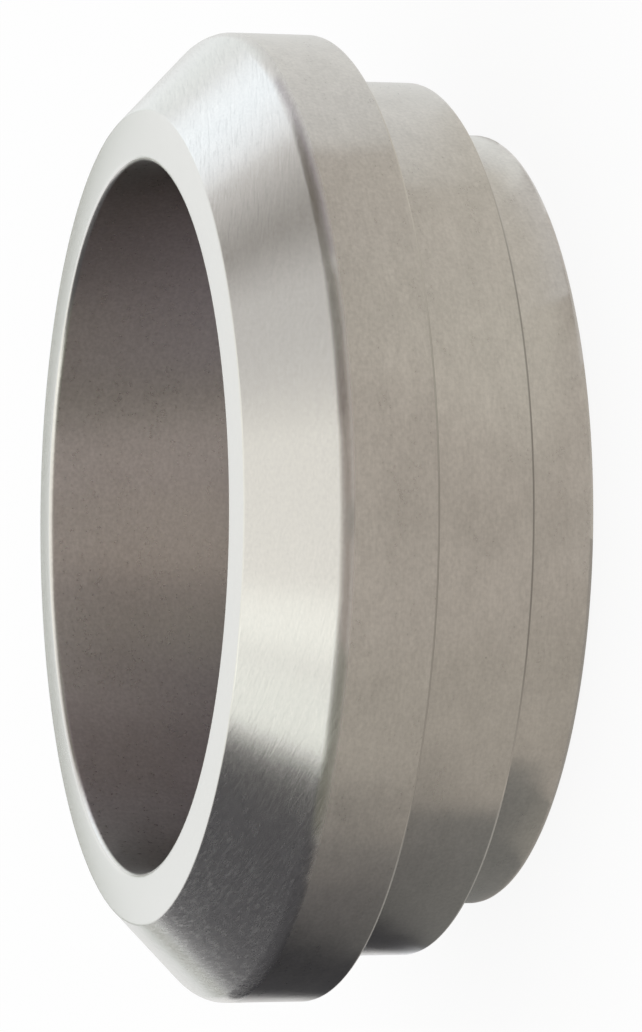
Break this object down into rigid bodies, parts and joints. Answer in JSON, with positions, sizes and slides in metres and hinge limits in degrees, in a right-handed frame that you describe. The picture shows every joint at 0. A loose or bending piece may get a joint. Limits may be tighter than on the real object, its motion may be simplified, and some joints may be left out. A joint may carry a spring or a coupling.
{
  "type": "bevel seat ferrule",
  "caption": "Turned stainless ring with a bevelled sealing nose, a wide land, a nut hub and a weld end on one straight bore, for a sanitary tube union.",
  "frame": {"origin": "centre of the weld end's face, on the ring's axis", "axes": "+Z along the ring's axis from the weld end to the bevelled nose; +X and +Y are any two square directions across it"},
  "size_m": [0.0474, 0.0474, 0.0173],
  "materials": {
    "turned_steel": "lathe-turned stainless steel with a fine circumferential grain, and a hand-brushed bevel"
  },
  "bodies": {
    "root": {"bevel_seat_ferrule": "turned_steel"}
  },
  "joints": []
}
